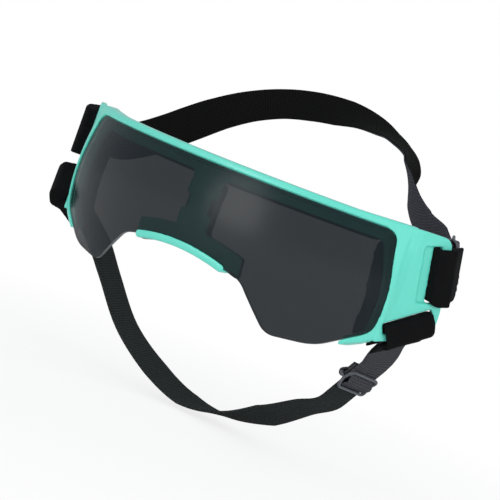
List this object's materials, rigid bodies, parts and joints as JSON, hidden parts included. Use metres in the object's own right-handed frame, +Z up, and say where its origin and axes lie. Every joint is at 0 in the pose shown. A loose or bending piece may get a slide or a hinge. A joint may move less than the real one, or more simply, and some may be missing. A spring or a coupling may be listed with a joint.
{
  "type": "dog goggles",
  "caption": "Dog goggles: one wide curved lens in a soft one-piece frame, foam pads behind, and a head strap and chin strap with sliders.",
  "frame": {"origin": "middle of the face seat, at the rear of the pad over the nose, on the plane of symmetry of the frame", "axes": "+X to the right seen from the front, +Y back over the dog's head, +Z up"},
  "size_m": [0.2089, 0.1692, 0.1582],
  "materials": {
    "mint_frame": "satin, soft moulded plastic",
    "smoke_lens": "polished, dark grey tint",
    "foam": "matt foam",
    "tab_fabric": "matt brushed fabric",
    "webbing": "matt woven elastic",
    "slider_plastic": "satin"
  },
  "bodies": {
    "frame": {"frame": "mint_frame", "lens": "smoke_lens", "brow_pad": "foam", "left_side_pad": "foam", "right_side_pad": "foam", "nose_pad": "foam", "upper_left_tab": "tab_fabric", "upper_right_tab": "tab_fabric", "lower_left_tab": "tab_fabric", "lower_right_tab": "tab_fabric"},
    "head_strap": {"head_strap": "webbing"},
    "head_slider": {"head_slider": "slider_plastic", "head_strap_end": "webbing"},
    "chin_strap": {"chin_strap": "webbing"},
    "chin_slider": {"chin_slider": "slider_plastic", "chin_strap_end": "webbing"}
  },
  "joints": [
    {"name": "head_strap_tilt", "type": "hinge", "parent": "frame", "child": "head_strap", "pos_m": [0.0958, 0.0543, 0.0245], "axis": [1, 0, 0], "range_deg": [-5, 5]},
    {"name": "head_slider_slide", "type": "slide", "parent": "head_strap", "child": "head_slider", "axis": [-0.6208, 0.732, 0.2807], "range_m": [-0.004, 0.006]},
    {"name": "chin_strap_tilt", "type": "hinge", "parent": "frame", "child": "chin_strap", "pos_m": [0.0886, 0.0403, -0.0112], "axis": [1, 0, 0], "range_deg": [-4, 4]},
    {"name": "chin_slider_slide", "type": "slide", "parent": "chin_strap", "child": "chin_slider", "axis": [-0.515, 0, -0.8572], "range_m": [-0.006, 0.006]}
  ]
}
